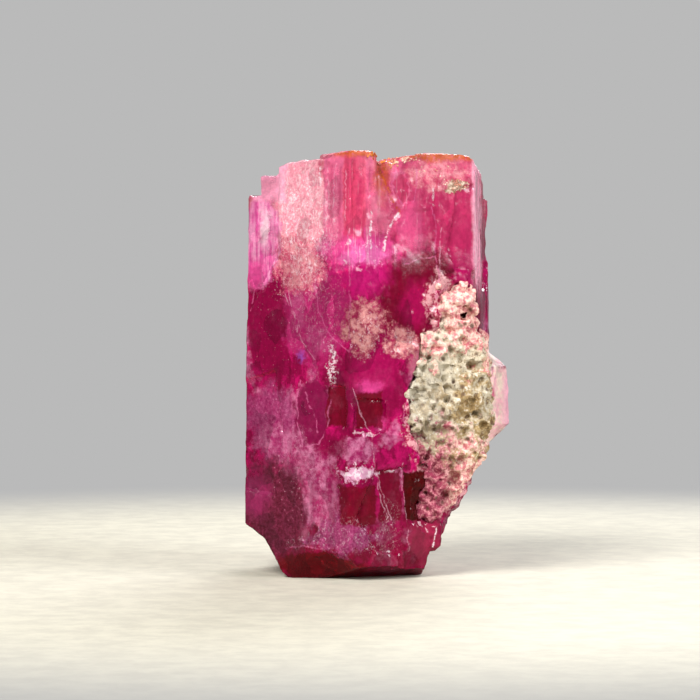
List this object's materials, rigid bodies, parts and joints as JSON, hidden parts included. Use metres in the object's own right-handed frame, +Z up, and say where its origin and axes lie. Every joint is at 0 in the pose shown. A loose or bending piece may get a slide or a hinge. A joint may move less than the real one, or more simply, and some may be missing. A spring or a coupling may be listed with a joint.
{
  "type": "raw red beryl crystal",
  "caption": "Broken six-sided red beryl prism with a small crystal and a scrap of porous cream rock grown on its right side, standing on its flat lower break.",
  "frame": {"origin": "middle of the bounding box at the flat lower break that the crystal stands on", "axes": "+Z up along the prism, -Y towards the side that the picture shows, +X to that side's right"},
  "size_m": [0.0064, 0.006, 0.01],
  "materials": {
    "red_beryl": "vitreous, striated and broken, clouded by healed fractures",
    "rhyolite": "matt, porous and crumbly"
  },
  "bodies": {
    "root": {"beryl_crystal": "red_beryl", "matrix": "rhyolite"}
  },
  "joints": []
}
